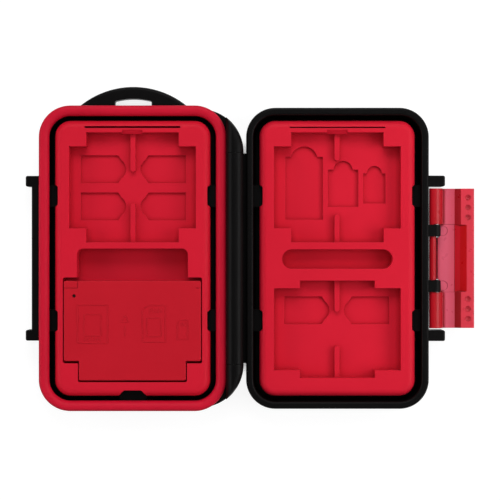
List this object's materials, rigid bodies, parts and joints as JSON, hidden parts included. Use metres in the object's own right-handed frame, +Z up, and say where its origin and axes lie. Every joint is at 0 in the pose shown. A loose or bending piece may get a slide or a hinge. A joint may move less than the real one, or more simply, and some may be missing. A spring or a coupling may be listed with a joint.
{
  "type": "memory card case",
  "caption": "Hinged hard case for memory cards, lying open: black shells with pocketed red trays, a red rim seal, an arched carry handle, a clear red snap latch and a lift-out card reader.",
  "frame": {"origin": "middle of the base's flat outer face, which lies on the table", "axes": "+X from the base across the hinge to the lid, +Y along the hinge to the carry handle, +Z up out of the trays"},
  "size_m": [0.1851, 0.1338, 0.0186],
  "materials": {
    "black_plastic": "satin, fine moulded grain",
    "seal_rubber": "soft matt rubber",
    "tray_plastic": "fine matt moulded plastic",
    "latch_plastic": "clear tinted plastic",
    "reader_plastic": "fine matt moulded plastic",
    "steel": "bright drawn steel",
    "circuit_board": "green solder mask",
    "socket_plastic": "black filled plastic",
    "contact_metal": "thin gold plating",
    "capacitor_ceramic": "tan ceramic",
    "clear_plastic": "clear moulded plastic"
  },
  "bodies": {
    "base": {"base_shell": "black_plastic", "base_seal": "seal_rubber", "base_tray": "tray_plastic", "hinge_pin": "steel"},
    "lid": {"lid_shell": "black_plastic", "lid_tray": "tray_plastic"},
    "latch": {"latch": "latch_plastic"},
    "reader": {"reader_top_cover": "reader_plastic", "reader_bottom_cover": "reader_plastic", "reader_circuit_board": "circuit_board", "reader_screws": "steel", "reader_large_card_socket": "socket_plastic", "reader_large_card_pins": "contact_metal", "reader_middle_card_socket": "steel", "reader_middle_card_contacts": "contact_metal", "reader_small_card_socket": "steel", "reader_small_card_contacts": "contact_metal", "reader_cable_socket": "steel", "reader_cable_socket_insert": "socket_plastic", "reader_controller_chip": "socket_plastic", "reader_crystal": "steel", "reader_capacitors": "capacitor_ceramic", "reader_indicator_led": "clear_plastic", "reader_light_pipe": "clear_plastic"}
  },
  "joints": [
    {"name": "lid_hinge", "type": "hinge", "parent": "base", "child": "lid", "pos_m": [0.0421, 0, 0.015], "axis": [0, -1, 0], "range_deg": [0, 180]},
    {"name": "latch_hinge", "type": "hinge", "parent": "lid", "child": "latch", "pos_m": [0.12345, 0, 0.0124], "axis": [0, -1, 0], "range_deg": [-30, 90]},
    {"name": "reader_lift", "type": "slide", "parent": "base", "child": "reader", "axis": [0, 0, 1], "range_m": [0, 0.0015]}
  ]
}
